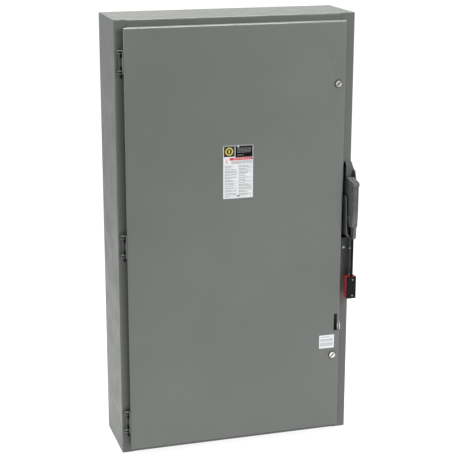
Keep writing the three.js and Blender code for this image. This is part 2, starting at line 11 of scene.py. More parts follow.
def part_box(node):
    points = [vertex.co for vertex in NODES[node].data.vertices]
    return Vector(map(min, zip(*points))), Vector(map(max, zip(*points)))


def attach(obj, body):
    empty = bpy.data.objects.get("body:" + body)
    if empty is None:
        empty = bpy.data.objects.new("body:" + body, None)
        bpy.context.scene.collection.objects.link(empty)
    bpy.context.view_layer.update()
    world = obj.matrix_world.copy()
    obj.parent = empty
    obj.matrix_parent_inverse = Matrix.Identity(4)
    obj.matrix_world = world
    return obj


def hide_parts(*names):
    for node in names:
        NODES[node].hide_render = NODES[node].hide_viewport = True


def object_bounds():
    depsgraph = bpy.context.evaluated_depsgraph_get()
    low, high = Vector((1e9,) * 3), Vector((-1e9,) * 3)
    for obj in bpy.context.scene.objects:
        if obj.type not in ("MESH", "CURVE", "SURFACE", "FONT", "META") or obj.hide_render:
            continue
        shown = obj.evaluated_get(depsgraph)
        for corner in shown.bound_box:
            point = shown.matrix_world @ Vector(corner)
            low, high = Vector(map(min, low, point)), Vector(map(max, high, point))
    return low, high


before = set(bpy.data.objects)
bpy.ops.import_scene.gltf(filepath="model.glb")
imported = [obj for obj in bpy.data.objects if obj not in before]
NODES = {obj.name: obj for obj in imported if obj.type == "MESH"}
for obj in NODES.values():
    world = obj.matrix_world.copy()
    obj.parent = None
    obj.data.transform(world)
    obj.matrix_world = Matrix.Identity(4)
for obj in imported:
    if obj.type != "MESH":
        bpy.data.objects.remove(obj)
CAD_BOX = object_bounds()
MM = 0.001

POLE_X = {"a": -0.200, "b": -0.050, "c": 0.100}
PLACES = ("upper", "middle", "lower")


# ------------------------------------------------------------------ camera

CAMERA_PLACE = Vector((-1.07872, -3.72092, 1.05190))
CAMERA_AZIMUTH = math.radians(-16.732)
CAMERA_ELEVATION = math.radians(15.619)
CAMERA_ROLL = math.radians(0.097)
CAMERA_LENS = 103.16
SENSOR_WIDTH = 36.0


def make_camera():
    data = bpy.data.cameras.new("camera")
    data.lens = CAMERA_LENS
    data.sensor_width = SENSOR_WIDTH
    data.clip_end = 100.0
    camera = bpy.data.objects.new("camera", data)
    back = Vector((math.sin(CAMERA_AZIMUTH) * math.cos(CAMERA_ELEVATION),
                   -math.cos(CAMERA_AZIMUTH) * math.cos(CAMERA_ELEVATION),
                   math.sin(CAMERA_ELEVATION)))
    right = Vector((0, 0, 1)).cross(back).normalized()
    up = back.cross(right)
    turned_right = right * math.cos(CAMERA_ROLL) + up * math.sin(CAMERA_ROLL)
    turned_up = up * math.cos(CAMERA_ROLL) - right * math.sin(CAMERA_ROLL)
    camera.matrix_world = Matrix.Translation(CAMERA_PLACE) @ Matrix(
        (turned_right, turned_up, back)).transposed().to_4x4()
    bpy.context.scene.collection.objects.link(camera)
    bpy.context.scene.camera = camera


# ------------------------------------------------------------------ light and floor

# Each softbox: name, place, aim, size in metres and power in watts.
SOFTBOXES = (
    ("top_softbox", (0.45, 0.1, 3.0), (0.3, -0.1, 0.64), (1.5, 1.4), 130.0),
    ("key_softbox", (2.2, -3.4, 1.9), (0.0, -0.2, 0.0), (1.4, 1.4), 83.0),
    ("left_softbox", (-1.7, -0.1, 1.9), (-0.35, -0.1, 0.35), (0.8, 0.8), 50.0),
)
HORIZON_GLOW = 0.7
SKY_GLOW = 0.05
GLOW_FADE_ANGLES = (14.0, 32.0)

# The floor's own light in each zone, and where one zone passes into the next, in metres.
FLOOR_NEAR = 0.84
FLOOR_FAR = 1.0
FLOOR_FRONT = 0.50
FLOOR_LEFT = 0.12
NEAR_TO_FAR_Y = (1.5, 5.0)
FRONT_TO_NEAR_Y = (-2.2, -0.5)
LEFT_TO_MIDDLE_X = (-2.6, -0.80)
FLOOR_REACH = 40.0
FLOOR_GAP = 0.001


def area_light(name, place, target, size, power):
    data = bpy.data.lights.new(name, "AREA")
    data.shape = "RECTANGLE"
    data.size, data.size_y = size
    data.energy = power
    lamp = bpy.data.objects.new(name, data)
    lamp.location = place
    lamp.rotation_euler = (Vector(target) - Vector(place)).to_track_quat("-Z", "Y").to_euler()
    bpy.context.scene.collection.objects.link(lamp)


def stage_plane(name, corners, material):
    mesh = bpy.data.meshes.new(name)
    mesh.from_pydata(corners, [], [(0, 1, 2, 3)])
    mesh.materials.append(material)
    plane = bpy.data.objects.new(name, mesh)
    bpy.context.scene.collection.objects.link(plane)


def make_sky():
    """A white band round the horizon that fades into a dimmer, even studio ceiling."""
    world = bpy.data.worlds.new("studio")
    bpy.context.scene.world = world
    world.use_nodes = True
    nodes, links = world.node_tree.nodes, world.node_tree.links
    split = nodes.new("ShaderNodeSeparateXYZ")
    fade = nodes.new("ShaderNodeMapRange")
    low_angle, high_angle = (math.radians(angle) for angle in GLOW_FADE_ANGLES)
    fade.inputs["From Min"].default_value = math.sin(low_angle)
    fade.inputs["From Max"].default_value = math.sin(high_angle)
    fade.inputs["To Min"].default_value = HORIZON_GLOW
    fade.inputs["To Max"].default_value = SKY_GLOW
    links.new(nodes.new("ShaderNodeTexCoord").outputs["Generated"], split.inputs["Vector"])
    links.new(split.outputs["Z"], fade.inputs["Value"])
    links.new(fade.outputs["Result"], nodes["Background"].inputs["Strength"])
    nodes["Background"].inputs["Color"].default_value = (1.0, 1.0, 1.0, 1.0)


def floor_material():
    """White floor that glows with its own light, which falls off in front of the object and to its left."""
    g = Graph("studio_floor")
    split = g.add("ShaderNodeSeparateXYZ")
    g.link(g.place, split.inputs["Vector"])
    behind = g.span(split.outputs["Y"], *FRONT_TO_NEAR_Y)
    right = g.span(split.outputs["X"], *LEFT_TO_MIDDLE_X)
    near_to_far = g.span(split.outputs["Y"], *NEAR_TO_FAR_Y, FLOOR_NEAR, FLOOR_FAR)
    above_front = g.math("ADD", near_to_far, -FLOOR_FRONT)
    middle = g.math("ADD", g.math("MULTIPLY", behind, above_front), FLOOR_FRONT)
    excess = g.math("MULTIPLY", right, g.math("ADD", middle, -FLOOR_LEFT))
    g.link(g.math("ADD", excess, FLOOR_LEFT), g.shader.inputs["Emission Strength"])
    g.shader.inputs["Emission Color"].default_value = (1, 1, 1, 1)
    g.shader.inputs["Base Color"].default_value = (0.3, 0.3, 0.3, 1)
    g.shader.inputs["Roughness"].default_value = 0.9
    return g.material


def make_studio():
    bpy.context.scene.view_settings.view_transform = "Standard"
    make_sky()
    floor = CAD_BOX[0][2] - FLOOR_GAP
    corners = [(x * FLOOR_REACH, y * FLOOR_REACH, floor) for x, y in ((-1, -1), (1, -1), (1, 1), (-1, 1))]
    stage_plane("studio_floor", corners, floor_material())
    for softbox in SOFTBOXES:
        area_light(*softbox)


# ------------------------------------------------------------------ material nodes

class Graph:
    """A material's node tree, with object coordinates in metres as its only input."""

    def __init__(self, name):
        self.material = bpy.data.materials.new(name)
        self.material.use_nodes = True
        self.tree = self.material.node_tree
        self.shader = self.tree.nodes["Principled BSDF"]
        self.place = self.add("ShaderNodeTexCoord").outputs["Object"]

    def add(self, kind, **settings):
        node = self.tree.nodes.new(kind)
        for key, value in settings.items():
            setattr(node, key, value)
        return node

    def link(self, source, target):
        self.tree.links.new(source, target)

    def stretched(self, scale):
        mapping = self.add("ShaderNodeMapping")
        mapping.inputs["Scale"].default_value = scale
        self.link(self.place, mapping.inputs["Vector"])
        return mapping.outputs["Vector"]

    def noise(self, scale, detail=3.0, roughness=0.55, vector=None):
        node = self.add("ShaderNodeTexNoise")
        node.inputs["Scale"].default_value = scale
        node.inputs["Detail"].default_value = detail
        node.inputs["Roughness"].default_value = roughness
        self.link(vector or self.place, node.inputs["Vector"])
        return node.outputs["Fac"]

    def span(self, value, low, high, to_low=0.0, to_high=1.0):
        node = self.add("ShaderNodeMapRange", interpolation_type="SMOOTHSTEP")
        node.inputs["From Min"].default_value = low
        node.inputs["From Max"].default_value = high
        node.inputs["To Min"].default_value = to_low
        node.inputs["To Max"].default_value = to_high
        self.link(value, node.inputs["Value"])
        return node.outputs["Result"]

    def math(self, operation, first, second):
        node = self.add("ShaderNodeMath", operation=operation)
        for socket, value in zip(node.inputs, (first, second)):
            if isinstance(value, (int, float)):
                socket.default_value = value
            else:
                self.link(value, socket)
        return node.outputs[0]

    def mix(self, factor, first, second, blend="MIX"):
        node = self.add("ShaderNodeMix", data_type="RGBA", blend_type=blend)
        self.link(factor, node.inputs["Factor"])
        for socket, value in ((node.inputs[6], first), (node.inputs[7], second)):
            if isinstance(value, tuple):
                socket.default_value = (*value, 1.0)
            else:
                self.link(value, socket)
        return node.outputs[2]

    def bump(self, height, strength, distance, below=None):
        node = self.add("ShaderNodeBump")
        node.inputs["Strength"].default_value = strength
        node.inputs["Distance"].default_value = distance
        self.link(height, node.inputs["Height"])
        if below is not None:
            self.link(below, node.inputs["Normal"])
        return node.outputs["Normal"]

    def up_facing(self):
        split = self.add("ShaderNodeSeparateXYZ")
        self.link(self.add("ShaderNodeNewGeometry").outputs["Normal"], split.inputs["Vector"])
        return split.outputs["Z"]

    def color(self, socket):
        self.link(socket, self.shader.inputs["Base Color"])

    def roughness(self, socket):
        self.link(socket, self.shader.inputs["Roughness"])

    def normal(self, socket):
        self.link(socket, self.shader.inputs["Normal"])

    def set(self, **values):
        for key, value in values.items():
            socket = key.replace("_", " ").title().replace("Ior", "IOR")
            self.shader.inputs[socket].default_value = value


def shade(color, factor):
    return tuple(channel * factor for channel in color)


def paint(name, color, roughness=0.42, peel=0.22, wear=0.0):
    """Baked enamel: cloudy tone, fine orange peel, faint rub marks, dust on top faces and bare edges."""
    g = Graph(name)
    tone = g.mix(g.span(g.noise(2.4, 3.0), 0.35, 0.65), shade(color, 0.955), shade(color, 1.045))
    tone = g.mix(g.span(g.noise(90.0, 4.0), 0.3, 0.7, 0.0, 0.10), tone, shade(color, 0.78))
    speck = g.span(g.noise(900.0, 1.0), 0.70, 0.80, 0.0, 0.18)
    tone = g.mix(speck, tone, shade(color, 1.5))
    light_streaks = g.span(g.noise(7.0, 6.0, 0.7, g.stretched((1.0, 1.0, 0.16))), 0.62, 0.80, 0.0, 0.07)
    tone = g.mix(light_streaks, tone, shade(color, 1.22))
    dust = g.math("MULTIPLY", g.span(g.up_facing(), 0.75, 1.0, 0.0, 0.10), g.noise(22.0, 5.0))
    tone = g.mix(dust, tone, (0.46, 0.44, 0.40))
    if wear:
        bare = g.span(g.noise(160.0, 5.0, 0.7), 0.56, 0.64, 0.0, wear)
        tone = g.mix(bare, tone, (0.42, 0.41, 0.39))
    g.color(tone)
    gloss = g.math("ADD", g.span(g.noise(14.0, 4.0), 0.3, 0.7, -0.05, 0.06), roughness)
    g.roughness(g.math("ADD", gloss, g.math("MULTIPLY", light_streaks, 0.4)))
    coarse = g.bump(g.noise(330.0, 2.0, 0.5), peel, 0.00022)
    g.normal(g.bump(g.noise(1700.0, 2.0), peel * 0.35, 0.00008, coarse))
    g.set(specular_ior_level=0.5)
    return g.material


def cast_paint(name, color, roughness=0.38):
    """Painted casting: the same enamel over a slightly pebbled skin, with lighter vertical streaks."""
    g = Graph(name)
    tone = g.mix(g.span(g.noise(9.0, 4.0), 0.3, 0.7), shade(color, 0.9), shade(color, 1.1))
    light_streaks = g.span(g.noise(38.0, 6.0, 0.7, g.stretched((1.0, 1.0, 0.3))), 0.58, 0.75, 0.0, 0.28)
    tone = g.mix(light_streaks, tone, shade(color, 1.55))
    tone = g.mix(g.span(g.noise(420.0, 3.0), 0.62, 0.75, 0.0, 0.3), tone, shade(color, 0.6))
    g.color(tone)
    g.roughness(g.math("ADD", g.span(g.noise(60.0, 4.0), 0.3, 0.7, -0.06, 0.08), roughness))
    pebble = g.bump(g.noise(700.0, 3.0), 0.35, 0.0002)
    g.normal(g.bump(g.noise(150.0, 2.0), 0.18, 0.0004, pebble))
    return g.material


def metal(name, color, roughness=0.3, brush=(1.0, 1.0, 1.0), grain=0.12, stain=0.25, stain_color=None):
    """Plated or bare metal: brushed grain, soft cloudy tarnish and scattered handling marks."""
    g = Graph(name)
    dark = stain_color or shade(color, 0.62)
    tone = g.mix(g.span(g.noise(30.0, 5.0, 0.65), 0.42, 0.72, 0.0, stain), color, dark)
    lines = g.noise(900.0, 3.0, 0.6, g.stretched(brush))
    tone = g.mix(g.span(lines, 0.3, 0.7, 0.0, 0.25), tone, shade(color, 0.72))
    g.color(tone)
    marks = g.span(g.noise(220.0, 5.0, 0.7), 0.5, 0.75, 0.0, 0.18)
    g.roughness(g.math("ADD", g.math("ADD", g.span(lines, 0.3, 0.7, -0.05, 0.07), marks), roughness))
    g.normal(g.bump(lines, grain, 0.00006))
    g.set(metallic=1.0)
    return g.material


def moulded(name, color, roughness=0.45, texture=500.0, depth=0.2, fleck=0.0, shine=0.5):
    """Moulded plastic or dipped vinyl: fine grain, mild tone shift and handling shine."""
    g = Graph(name)
    tone = g.mix(g.span(g.noise(26.0, 4.0), 0.3, 0.7), shade(color, 0.86), shade(color, 1.16))
    if fleck:
        tone = g.mix(g.span(g.noise(650.0, 2.0), 0.62, 0.72, 0.0, fleck), tone, shade(color, 2.4))
    g.color(tone)
    g.roughness(g.math("ADD", g.span(g.noise(45.0, 5.0), 0.3, 0.7, -0.09, 0.09), roughness))
    fine = g.bump(g.noise(texture, 3.0), depth, 0.00015)
    g.normal(g.bump(g.noise(texture * 0.2, 2.0), depth * 0.5, 0.0003, fine))
    g.set(specular_ior_level=shine)
    return g.material


def wound_tube(name, color):
    """Fuse tube: glass cloth wound round the barrel in fine rings under a clear resin."""
    g = Graph(name)
    rings = g.noise(240.0, 2.0, 0.5, g.stretched((0.25, 0.25, 4.0)))
    tone = g.mix(g.span(rings, 0.35, 0.65), shade(color, 0.78), shade(color, 1.12))
    tone = g.mix(g.span(g.noise(18.0, 4.0), 0.45, 0.75, 0.0, 0.4), tone, shade(color, 0.7))
    g.color(tone)
    g.roughness(g.span(rings, 0.3, 0.7, 0.30, 0.48))
    g.normal(g.bump(rings, 0.2, 0.0002))
    return g.material


def printed(name, color, roughness=0.4, shine=0.5):
    """Label film or ink: slight mottle and a nearly flat satin skin."""
    g = Graph(name)
    tone = g.mix(g.span(g.noise(160.0, 3.0), 0.3, 0.7), shade(color, 0.95), shade(color, 1.03))
    g.color(tone)
    g.roughness(g.math("ADD", g.span(g.noise(40.0, 3.0), 0.3, 0.7, -0.04, 0.05), roughness))
    g.normal(g.bump(g.noise(600.0, 2.0), 0.05, 0.0001))
    g.set(specular_ior_level=shine)
    return g.material


def clear_sheet(name, color):
    """Clear polycarbonate with fine hairline scratches."""
    g = Graph(name)
    hairline = g.noise(500.0, 6.0, 0.8, g.stretched((0.06, 1.0, 1.0)))
    g.roughness(g.span(hairline, 0.55, 0.8, 0.06, 0.35))
    g.color(g.mix(g.span(g.noise(10.0), 0.3, 0.7), shade(color, 0.97), color))
    g.normal(g.bump(hairline, 0.04, 0.0001))
    g.set(transmission_weight=0.92, alpha=0.55, ior=1.2)
    return g.material


DOOR_GREY = (0.150, 0.160, 0.149)
# The body's enamel is the door's grey darkened: painted shade, standing in for the shade on the body's
# flanges beside the door.
GREY = shade(DOOR_GREY, 0.82)
MATERIALS = {
    "enclosure_paint": paint("enclosure_enamel", GREY),
    "enclosure_edge": paint("enclosure_enamel_edge", shade(GREY, 1.03), 0.36, 0.12, 0.15),
    "door_paint": paint("door_enamel", DOOR_GREY),
    "door_edge": paint("door_enamel_edge", shade(DOOR_GREY, 0.97), 0.36, 0.12, 0.12),
    "handle_casting": cast_paint("casting_enamel", (0.112, 0.122, 0.115), 0.30),
    # A darker copy of the casting enamel for the guard: painted shade, as the guard stands in the door's
    # shadow.
    "guard_painted_shade": cast_paint("guard_enamel_painted_shade", (0.085, 0.093, 0.088), 0.34),
    # Lighter copies of the casting enamel for rounded edges: painted highlights along the casting's edges
    # and ridges.
    "casting_edge_highlight": cast_paint("casting_enamel_painted_highlight", (0.27, 0.28, 0.27), 0.22),
    "arm_edge_highlight": cast_paint("arm_enamel_painted_highlight", (0.42, 0.44, 0.43), 0.2),
    "zinc_plate": metal("zinc_plate", (0.80, 0.79, 0.75), 0.26, (1.0, 1.0, 0.1)),
    "pan_zinc": metal("galvanised_pan", (0.60, 0.60, 0.58), 0.42, (1.0, 1.0, 0.05), 0.1, 0.45),
    "fastener_nickel": metal("bright_nickel", (0.74, 0.74, 0.71), 0.24, (1.0, 1.0, 1.0), 0.10, 0.40),
    "dull_zinc": metal("dull_zinc", (0.60, 0.63, 0.63), 0.36, (1.0, 1.0, 0.2), 0.1, 0.3),
    "worn_screw": metal("worn_screw", (0.34, 0.34, 0.33), 0.38, (1.0, 1.0, 1.0), 0.1, 0.5),
    "brass_cap": metal("brass_ferrule", (0.72, 0.55, 0.28), 0.32, (0.3, 0.3, 1.0), 0.1, 0.35),
    "black_steel": metal("black_oxide", (0.022, 0.022, 0.024), 0.42, (1.0, 1.0, 0.1), 0.15, 0.3),
    "red_grip": moulded("red_vinyl", (0.52, 0.022, 0.028), 0.42, 420.0, 0.25),
    "black_grip": moulded("black_vinyl", (0.0075, 0.0070, 0.0070), 0.55, 420.0, 0.3, 0.0, 0.15),
    "black_moulding": moulded("thermoset_moulding", (0.030, 0.029, 0.029), 0.5, 800.0, 0.25, 0.12),
    "copper_bar": metal("copper_bar", (0.80, 0.42, 0.27), 0.3, (1.0, 1.0, 0.08), 0.15, 0.45,
                        (0.30, 0.14, 0.09)),
    "fuse_tube": wound_tube("fuse_tube", (0.56, 0.47, 0.30)),
    "chute_fibre": moulded("vulcanised_fibre", (0.24, 0.19, 0.15), 0.75, 300.0, 0.4, 0.1),
    "lug_aluminium": metal("tinned_aluminium", (0.78, 0.79, 0.80), 0.34, (0.1, 1.0, 1.0), 0.1, 0.3),
    "clear_shield": clear_sheet("clear_polycarbonate", (0.86, 0.93, 0.93)),
    "label_stock": printed("label_white", (0.80, 0.81, 0.83), 0.35),
    "ink_black": printed("ink_black", (0.0045, 0.0045, 0.0048), 0.45, 0.1),
    "ink_charcoal": printed("ink_charcoal", (0.040, 0.038, 0.036), 0.45, 0.2),
    "ink_grey": printed("ink_grey", (0.27, 0.275, 0.29), 0.4),
    "ink_pale_red": printed("ink_pale_red", (0.72, 0.36, 0.37), 0.4),
    "ink_red": printed("ink_red", (0.60, 0.035, 0.045), 0.35),
    "ink_yellow": printed("ink_yellow", (0.72, 0.60, 0.08), 0.35),
    "chip_primer": printed("chip_primer", (0.42, 0.44, 0.44), 0.6),
    "rubber": moulded("grommet_rubber", (0.055, 0.058, 0.052), 0.7, 900.0, 0.3),
    # Black foam for the door's lining, also used as painted shade at the hinges and in the fastener slots.
    "black_foam_and_shade": moulded("black_foam_and_painted_shade", (0.012, 0.012, 0.012), 0.9, 1500.0, 0.6, 0.0, 0.2),
}


# ------------------------------------------------------------------ mesh helpers

def new_piece(name, mesh_data, materials, body, replaced=()):
    """A finished mesh becomes a piece that rides on a body."""
    mesh = bpy.data.meshes.new(name)
    mesh_data.normal_update()
    mesh_data.to_mesh(mesh)
    mesh_data.free()
    for material in materials:
        mesh.materials.append(MATERIALS[material])
    piece = bpy.data.objects.new(name, mesh)
    bpy.context.scene.collection.objects.link(piece)
    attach(piece, body)
    if replaced:
        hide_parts(*replaced)
    return piece


def smooth(obj):
    obj.data.polygons.foreach_set("use_smooth", [True] * len(obj.data.polygons))


def soften(obj, width, segments=2, angle=32.0, edge_material=0):
    """Rounds the sharp edges and shades the faces as flat sheets joined by those rounds."""
    smooth(obj)
    bevel = obj.modifiers.new("rounded_edges", "BEVEL")
    bevel.width = width
    bevel.segments = segments
    bevel.limit_method = "ANGLE"
    bevel.angle_limit = math.radians(angle)
    bevel.use_clamp_overlap = True
    bevel.material = edge_material
    normals = obj.modifiers.new("face_normals", "WEIGHTED_NORMAL")
    normals.keep_sharp = False


def dress_node(node, material, width, segments=2, angle=32.0, edge=None):
    """A carried-over node gets its material and rounded edges; its mesh stays as it is."""
    obj = NODES[node]
    obj.data.materials.clear()
    obj.data.materials.append(MATERIALS[material])
    if edge:
        obj.data.materials.append(MATERIALS[edge])
    weld = obj.modifiers.new("weld", "WELD")
    weld.merge_threshold = 0.000002
    flat = obj.modifiers.new("merge_flat_faces", "DECIMATE")
    flat.decimate_type = "DISSOLVE"
    flat.angle_limit = math.radians(0.5)
    soften(obj, width, segments, angle, 1 if edge else 0)


def add_box(mesh, low, high, material=0):
    verts = [mesh.verts.new((x, y, z)) for x in (low[0], high[0]) for y in (low[1], high[1])
             for z in (low[2], high[2])]
    faces = ((0, 1, 3, 2), (4, 6, 7, 5), (0, 4, 5, 1), (2, 3, 7, 6), (0, 2, 6, 4), (1, 5, 7, 3))
    for corners in faces:
        mesh.faces.new([verts[i] for i in corners]).material_index = material


def ring_radius(radius, angle, hexagonal):
    """Distance to a circle, or to a hexagon's side when the ring is hexagonal."""
    if not hexagonal:
        return radius
    return radius / math.cos(angle % (math.pi / 3) - math.pi / 6)


def add_lathe(mesh, profile, centre, axis="Y", sides=40, material=0, close=True):
    """Turns (distance along the axis, radius) points about an axis; a third True makes a ring hexagonal."""
    frames = {"X": ((1, 0, 0), (0, 1, 0), (0, 0, 1)), "Y": ((0, 1, 0), (0, 0, 1), (1, 0, 0)),
              "Z": ((0, 0, 1), (1, 0, 0), (0, 1, 0))}
    along, across, over = (Vector(v) for v in frames[axis])
    centre = Vector(centre)
    rings = []
    for distance, radius, *hexagonal in profile:
        ring = []
        for i in range(sides):
            angle = 2 * math.pi * i / sides
            reach = ring_radius(radius, angle, bool(hexagonal))
            ring.append(mesh.verts.new(centre + along * distance
                                       + across * reach * math.cos(angle) + over * reach * math.sin(angle)))
        rings.append(ring)
    for first, second in zip(rings, rings[1:]):
        for i in range(sides):
            j = (i + 1) % sides
            mesh.faces.new((first[i], first[j], second[j], second[i])).material_index = material
    if close:
        mesh.faces.new(rings[0][::-1]).material_index = material
        mesh.faces.new(rings[-1]).material_index = material


def add_bolt(mesh, x, y, z, size):
    """A washer and a chamfered hexagon head, facing forwards from the surface at y."""
    seat = 1.2 * MM
    washer = [(0.0, size * 1.25), (-1.1 * MM, size * 1.25), (-1.3 * MM, size * 1.2)]
    head = [(-seat, size, True), (-seat - size * 0.62, size, True), (-seat - size * 0.74, size * 0.86)]
    for profile in (washer, head):
        add_lathe(mesh, profile, (x, y, z), "Y", 36)


def add_set_screw(mesh, x, y, z, size):
    """A round screw with a hexagon socket, facing forwards from the surface at y."""
    profile = [(0.0, size), (-1.2 * MM, size), (-1.8 * MM, size * 0.9),
               (-1.8 * MM, size * 0.56, True), (-0.2 * MM, size * 0.54, True)]
    add_lathe(mesh, profile, (x, y, z), "Y", 36)


def face_outwards(mesh):
    bmesh.ops.recalc_face_normals(mesh, faces=mesh.faces)


# ------------------------------------------------------------------ enclosure, door and hinges

def dress_enclosure():
    for node in ("left_side", "right_side", "top_end", "bottom_end"):
        dress_node(node, "enclosure_paint", 0.7 * MM, 2, 40.0, "enclosure_edge")
    dress_node("back_panel", "enclosure_paint", 0.5 * MM, 2, 40.0, "enclosure_edge")


def dress_door():
    dress_node("door", "door_paint", 0.7 * MM, 2, 40.0, "door_edge")


def dress_hinges():
    for place in PLACES:
        dress_node(f"{place}_hinge_door_leaf", "door_paint", 0.5 * MM, 2, 32.0, "door_edge")
        dress_node(f"{place}_hinge_body_leaf", "enclosure_paint", 0.5 * MM, 2, 32.0, "enclosure_edge")
        dress_node(f"{place}_hinge_pin", "enclosure_paint", 0.4 * MM)


EAR_SPREAD = 28 * MM
# Sizes of the black rings and blocks that stand in as painted shade between and beside the hinge ears.
SHADE_RING_BORE, SHADE_RING_RADIUS, SHADE_RING_HALF = 2.1 * MM, 4.6 * MM, 2.1 * MM
SHADE_BLOCK_BACK_Y, SHADE_BLOCK_FRONT_Y, SHADE_BLOCK_NOSE_Y = -206.4 * MM, -216.5 * MM, -218.0 * MM
SHADE_BLOCK_LEFT, SHADE_BLOCK_NOSE_LEFT, SHADE_BLOCK_RIGHT = 2.8 * MM, 4.6 * MM, 6.7 * MM


def add_shade_block(mesh, hinge_x, left, front, bottom, top):
    """A black block between a hinge and the body's front flange: painted shade beside the door's edge."""
    add_box(mesh, (hinge_x + left, front, bottom), (hinge_x + SHADE_BLOCK_RIGHT, SHADE_BLOCK_BACK_Y, top))


def build_hinge_shade_blocks():
    """Black rings between the ears and black blocks beside each pair on the body: painted shade in the dark
    gaps at the hinges.
    """
    mesh = bmesh.new()
    shade_ring = [(-SHADE_RING_HALF, SHADE_RING_BORE), (-SHADE_RING_HALF, SHADE_RING_RADIUS),
               (SHADE_RING_HALF, SHADE_RING_RADIUS), (SHADE_RING_HALF, SHADE_RING_BORE)]
    for place in PLACES:
        low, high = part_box(f"{place}_hinge_pin")
        centre = (low + high) / 2
        for z in (centre.z + EAR_SPREAD, centre.z - EAR_SPREAD):
            add_lathe(mesh, shade_ring, (centre.x, centre.y, z), "Z", 28, 0, False)
            add_shade_block(mesh, centre.x, SHADE_BLOCK_LEFT, SHADE_BLOCK_FRONT_Y, z - 16.5 * MM, z - 5.2 * MM)
            add_shade_block(mesh, centre.x, SHADE_BLOCK_NOSE_LEFT, SHADE_BLOCK_NOSE_Y, z - 2.0 * MM, z + 2.0 * MM)
        lower_ears = centre.z - EAR_SPREAD
        add_shade_block(mesh, centre.x, SHADE_BLOCK_LEFT, SHADE_BLOCK_FRONT_Y, lower_ears + 5.2 * MM, lower_ears + 16.0 * MM)
    face_outwards(mesh)
    new_piece("hinge_shade_blocks", mesh, ["black_foam_and_shade"], "enclosure")


# ------------------------------------------------------------------ door hardware

# Depths behind a label's front: its paper, the back of its ink and the lowest layer of ink.
PAPER_DEPTH, INK_BACK, INK_FRONT = 0.08 * MM, 0.09 * MM, 0.06 * MM
INK_LAYER = 0.02 * MM


def build_label(node, name, rows):
    """A white label with ink patches: left, right, top and bottom as parts of its size, ink, layer."""
    low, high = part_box(node)
    width, height = high.x - low.x, high.z - low.z
    mesh = bmesh.new()
    add_box(mesh, (low.x, low.y + PAPER_DEPTH, low.z), (high.x, high.y, high.z), 0)
    inks = ["label_stock", "ink_black", "ink_charcoal", "ink_grey", "ink_red", "ink_pale_red"]
    for left, right, top, bottom, ink, layer in rows:
        front = low.y + INK_FRONT - layer * INK_LAYER
        add_box(mesh, (low.x + left * width, front, high.z - bottom * height),
                (low.x + right * width, low.y + INK_BACK, high.z - top * height), inks.index(ink))
    face_outwards(mesh)
    new_piece(name, mesh, inks, "door_assembly", (node,))


def word_line(rng, left, right, top, bottom, ink, layer, gap=0.012):
    """A row of bars of uneven length that stands for a printed line."""
    row = []
    at = left
    while at < right - 0.02:
        end = min(right, at + rng.uniform(0.03, 0.11))
        row.append((at, end, top, bottom, ink, layer))
        at = end + gap
    return row


def main_label_rows():
    """A dark emblem panel and title panel, a red heading, and two columns of printed lines."""
    rng = random.Random(7)
    rows = [(0.0, 1.0, 0.0, 0.020, "ink_grey", 0),
            (0.02, 0.385, 0.022, 0.215, "ink_charcoal", 1),
            (0.405, 0.985, 0.022, 0.232, "ink_black", 1),
            (0.475, 0.525, 0.012, 0.045, "label_stock", 2),
            (0.215, 0.985, 0.236, 0.285, "ink_red", 1)]
    for top in (0.060, 0.085, 0.110, 0.135, 0.185):
        rows += word_line(rng, 0.47, 0.93 if top < 0.16 else 0.70, top, top + 0.010, "ink_grey", 2)
    rows += word_line(rng, 0.34, 0.93, 0.248, 0.272, "ink_pale_red", 2, 0.02)
    rows += [(0.070, 0.170, 0.262, 0.270, "ink_pale_red", 1),
             (0.100, 0.140, 0.280, 0.345, "ink_pale_red", 1)]
    for top in (0.300, 0.320, 0.340):
        rows += word_line(rng, 0.27, 0.96, top, top + 0.010, "ink_grey", 1)
    for left, right, seed in ((0.05, 0.46, 11), (0.52, 0.96, 12)):
        rng = random.Random(seed)
        top, last = 0.385, 0.965
        while top < last:
            for _ in range(rng.randint(2, 4)):
                if top > last:
                    break
                end = right - rng.choice((0.0, 0.0, 0.02, 0.12, 0.2))
                rows += word_line(rng, left, end, top, top + 0.0065, "ink_grey", 1, 0.010)
                top += 0.0125
            top += 0.014
    rows.append((0.47, 0.55, 0.948, 0.966, "ink_black", 2))
    return rows


def small_label_rows():
    """A short heading and two groups of printed lines."""
    rng = random.Random(3)
    rows = word_line(rng, 0.12, 0.70, 0.12, 0.17, "ink_grey", 1, 0.03)
    for top in (0.30, 0.37, 0.44, 0.58, 0.65, 0.72, 0.79):
        rows += word_line(rng, 0.08, 0.92, top, top + 0.040, "ink_grey", 1, 0.025)
    return rows


def build_emblem():
    """A plain yellow ring with an upright bar, on the label's dark panel."""
    low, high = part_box("main_label")
    width, height = high.x - low.x, high.z - low.z
    x = low.x + 0.20 * width
    z = high.z - 0.118 * height
    front, back = low.y, low.y + 0.04 * MM
    inner, outer = 8.2 * MM, 11.5 * MM
    half_bar, half_height = 1.8 * MM, 4.5 * MM
    mesh = bmesh.new()
    add_lathe(mesh, [(back, inner), (front, inner), (front, outer), (back, outer)], (x, 0, z), "Y", 48, 0,
              False)
    add_box(mesh, (x - half_bar, front, z - half_height), (x + half_bar, back, z + half_height))
    face_outwards(mesh)
    new_piece("main_label_emblem", mesh, ["ink_yellow"], "door_assembly")


FASTENER_PLACES = {"upper": Vector((0.298, 0, 0.440)), "lower": Vector((0.298, 0, -0.389))}
SLOT_HALF_LENGTH, SLOT_HALF_WIDTH, SLOT_DEPTH = 7.4 * MM, 1.25 * MM, 1.5 * MM
SLOT_FLOOR_THICKNESS = 0.4 * MM


